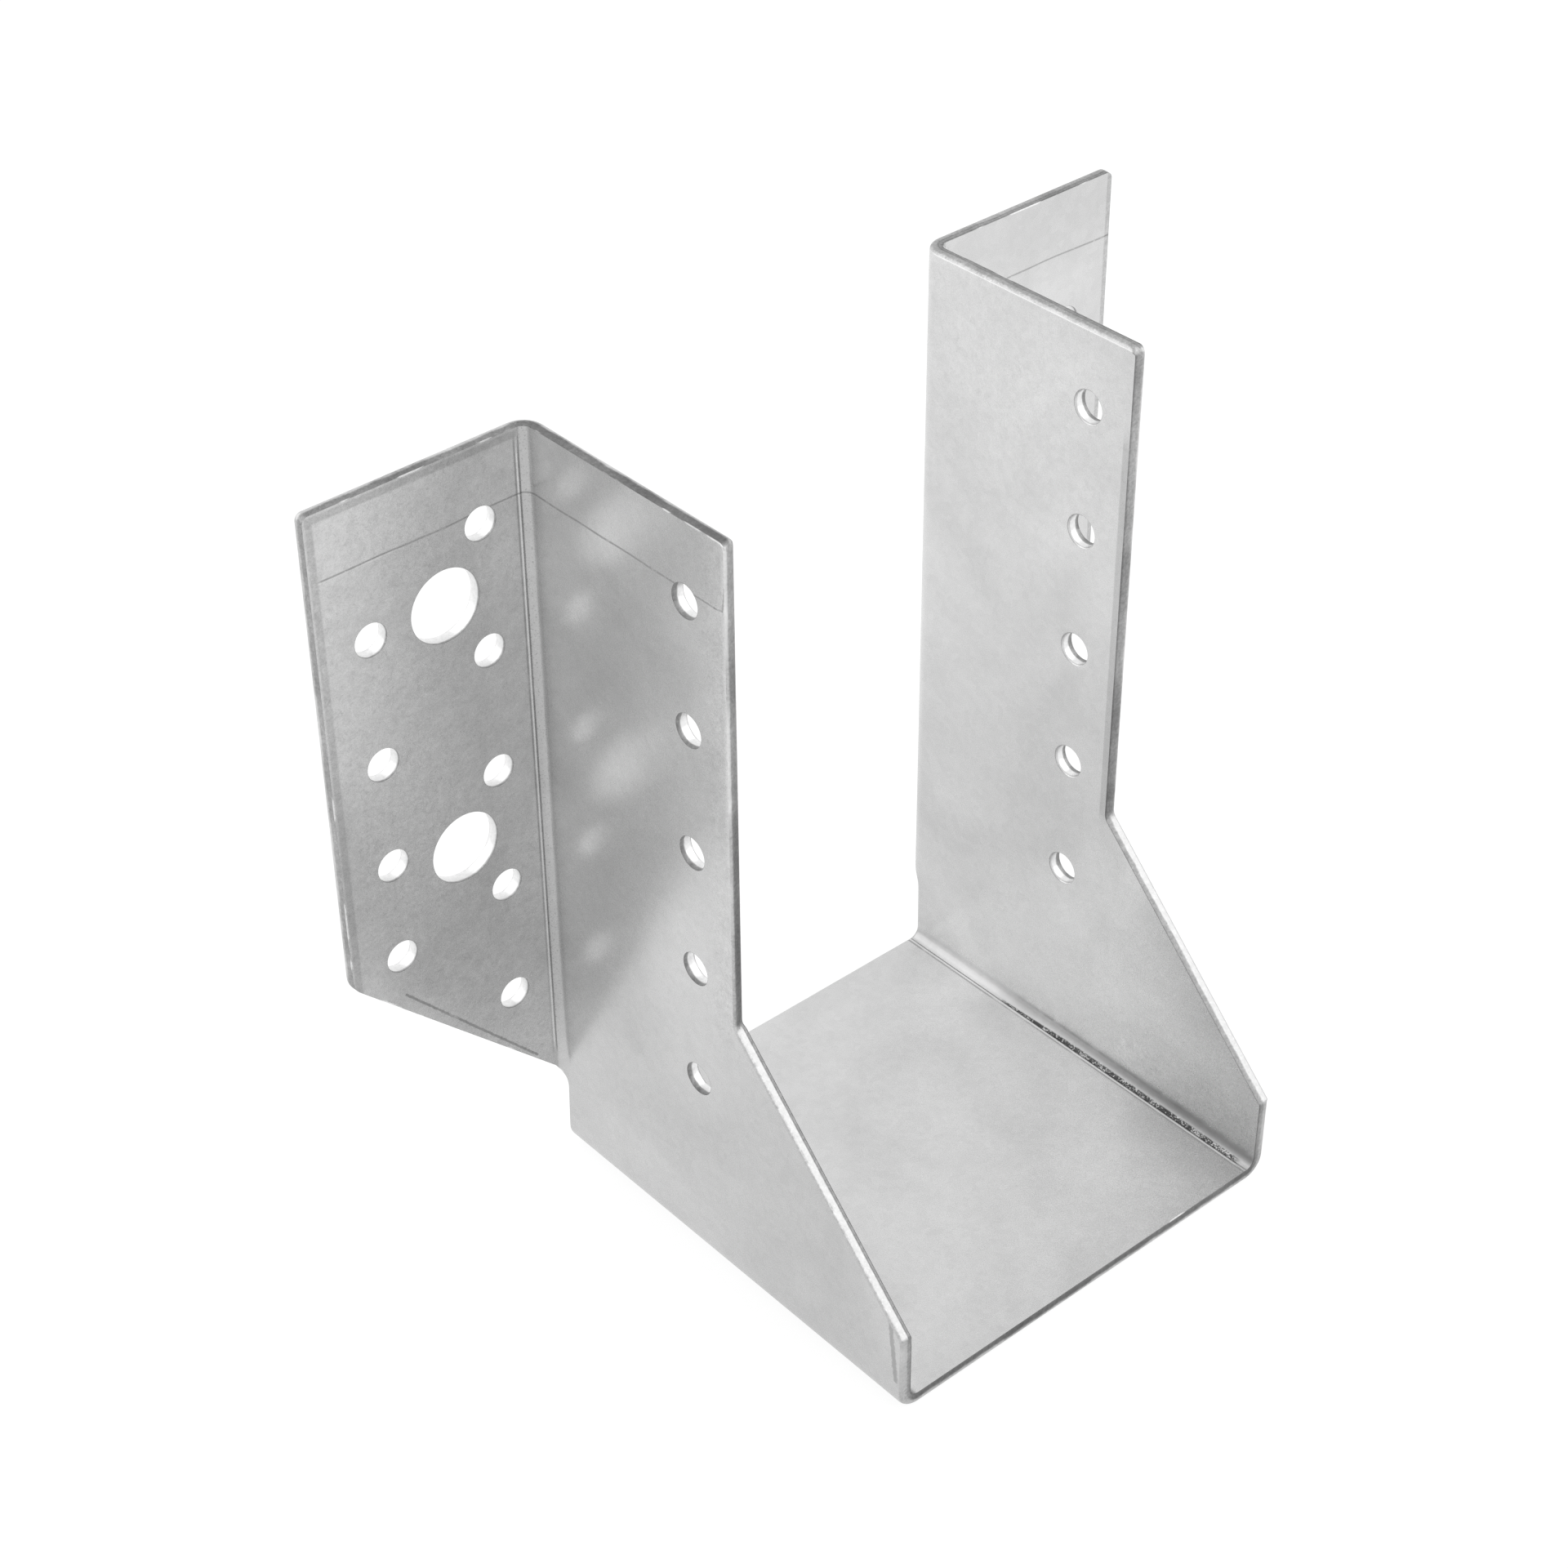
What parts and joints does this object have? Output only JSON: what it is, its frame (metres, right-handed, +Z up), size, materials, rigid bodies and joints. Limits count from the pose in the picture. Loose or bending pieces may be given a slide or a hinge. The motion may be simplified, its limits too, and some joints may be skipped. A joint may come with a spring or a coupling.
{
  "type": "joist hanger",
  "caption": "Face-fix joist hanger folded from galvanised steel sheet, with a flat seat, two side plates with slanted front edges and two outward flanges with nail and bolt holes.",
  "frame": {"origin": "on the seat's underside, midway between the side plates and midway between the front of the seat and the back faces of the flanges", "axes": "+X across the joist, +Y along the joist towards the header, +Z up the plates"},
  "size_m": [0.144, 0.076, 0.126],
  "materials": {
    "galvanised_steel": "hot-dip galvanised sheet with a dull, finely mottled grey surface and bare sheared edges"
  },
  "bodies": {
    "root": {"hanger": "galvanised_steel"}
  },
  "joints": []
}
